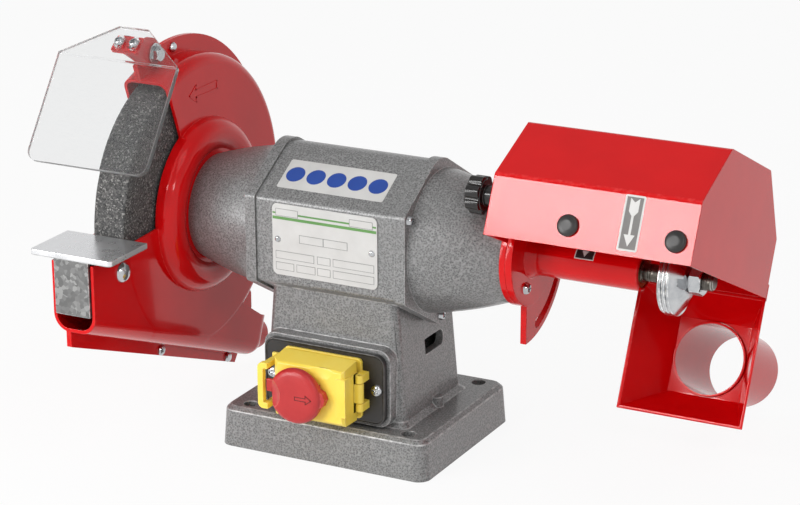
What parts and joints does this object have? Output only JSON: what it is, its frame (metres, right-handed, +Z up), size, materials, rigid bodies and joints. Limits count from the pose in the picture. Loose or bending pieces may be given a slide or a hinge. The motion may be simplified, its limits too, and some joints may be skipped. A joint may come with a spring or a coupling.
{
  "type": "bench grinder",
  "caption": "Bench grinder with a guarded grinding wheel on the left, a long brush spindle under a swinging dust hood on the right, eye shield, tool rest and a flap switch.",
  "frame": {"origin": "centre of the bench bolt pattern, on the foot's underside", "axes": "+X along the shaft towards the brush spindle, +Y away from the operator, +Z up"},
  "size_m": [0.469, 0.309, 0.296],
  "materials": {
    "hammer_paint": "grey hammer-finish paint on die casting",
    "red_paint": "glossy red enamel on sheet steel",
    "zinc_steel": "bright zinc plate",
    "dark_steel": "bare steel, lightly oiled",
    "copper_wire": "varnished copper wire",
    "bronze": "sintered bronze",
    "black_plastic": "satin black moulding",
    "pale_plastic": "pale moulding",
    "plate_white": "white printed plate with blank fields",
    "yellow_plastic": "glossy yellow moulding",
    "red_plastic": "glossy red moulding",
    "green_plastic": "glossy green moulding",
    "abrasive": "dark grey bonded abrasive with light grains",
    "blotter_paper": "blotting paper",
    "clear_plastic": "clear polished sheet"
  },
  "bodies": {
    "frame": {"body_casting": "hammer_paint", "bottom_plate": "dark_steel", "bottom_plate_screws": "zinc_steel", "left_end_bell": "hammer_paint", "right_end_bell": "hammer_paint", "end_bell_screws": "zinc_steel", "stator_core": "dark_steel", "stator_windings": "copper_wire", "left_bearing": "zinc_steel", "right_bearing": "zinc_steel", "run_capacitor": "pale_plastic", "terminal_block": "pale_plastic", "cable_gland": "black_plastic", "name_plate": "plate_white", "name_plate_rivets": "zinc_steel", "switch_plate": "black_plastic", "switch_plate_screws": "zinc_steel", "switch_housing": "yellow_plastic", "flap_hinge_pin": "zinc_steel", "guard_body": "red_paint", "guard_cover": "red_paint", "guard_flange_screws": "zinc_steel", "guard_hub_screws": "zinc_steel", "rest_clamp_bolt": "zinc_steel", "rest_clamp_nut": "zinc_steel", "shield_pivot_bolt": "zinc_steel", "arbor_housing": "red_paint", "arbor_flange_screws": "zinc_steel", "arbor_bush": "bronze", "sector_plate": "red_paint"},
    "rotor": {"motor_shaft": "dark_steel", "rotor_core": "dark_steel", "grinding_wheel": "abrasive", "wheel_blotters": "blotter_paper", "wheel_inner_flange": "zinc_steel", "wheel_outer_flange": "zinc_steel", "wheel_nut": "zinc_steel", "spindle_inner_disc": "zinc_steel", "spindle_outer_disc": "zinc_steel", "spindle_cone_flange": "zinc_steel", "spindle_nut": "zinc_steel"},
    "tool_rest": {"tool_rest": "zinc_steel"},
    "eye_shield": {"shield_bracket": "red_paint", "eye_shield": "clear_plastic", "shield_screws": "zinc_steel"},
    "hood": {"hood_shell": "red_paint", "dust_funnel": "red_paint", "dust_tube": "red_paint", "hood_plugs": "black_plastic", "clamp_stud": "zinc_steel"},
    "clamp_knob": {"clamp_knob": "black_plastic"},
    "switch_flap": {"switch_flap": "yellow_plastic"},
    "stop_mushroom": {"stop_mushroom": "red_plastic"},
    "start_button": {"start_button": "green_plastic"},
    "stop_button": {"stop_button": "red_plastic"}
  },
  "joints": [
    {"name": "shaft_spin", "type": "hinge", "parent": "frame", "child": "rotor", "pos_m": [0, -0.004, 0.155], "axis": [1, 0, 0], "continuous": true},
    {"name": "tool_rest_slide", "type": "slide", "parent": "frame", "child": "tool_rest", "axis": [0, 1, 0], "range_m": [-0.005, 0]},
    {"name": "eye_shield_tilt", "type": "hinge", "parent": "frame", "child": "eye_shield", "pos_m": [-0.1455, -0.036, 0.2705], "axis": [1, 0, 0], "range_deg": [-50, 10]},
    {"name": "hood_swing", "type": "hinge", "parent": "frame", "child": "hood", "pos_m": [0, -0.004, 0.155], "axis": [1, 0, 0], "range_deg": [-60, 8]},
    {"name": "clamp_knob_turn", "type": "hinge", "parent": "hood", "child": "clamp_knob", "pos_m": [0.106, -0.03671, 0.2035], "axis": [1, 0, 0], "range_deg": [0, 360]},
    {"name": "flap_swing", "type": "hinge", "parent": "frame", "child": "switch_flap", "pos_m": [0.0325, -0.069, 0.059], "axis": [0, 0, 1], "range_deg": [-2.5, 100]},
    {"name": "mushroom_latch", "type": "slide", "parent": "switch_flap", "child": "stop_mushroom", "axis": [1, 0, 0], "range_m": [0, 0.005], "stiffness_N_per_m": 400},
    {"name": "start_press", "type": "slide", "parent": "frame", "child": "start_button", "axis": [0, 1, 0], "range_m": [0, 0.0035], "stiffness_N_per_m": 400},
    {"name": "stop_press", "type": "slide", "parent": "frame", "child": "stop_button", "axis": [0, 1, 0], "range_m": [0, 0.0035], "stiffness_N_per_m": 400}
  ]
}
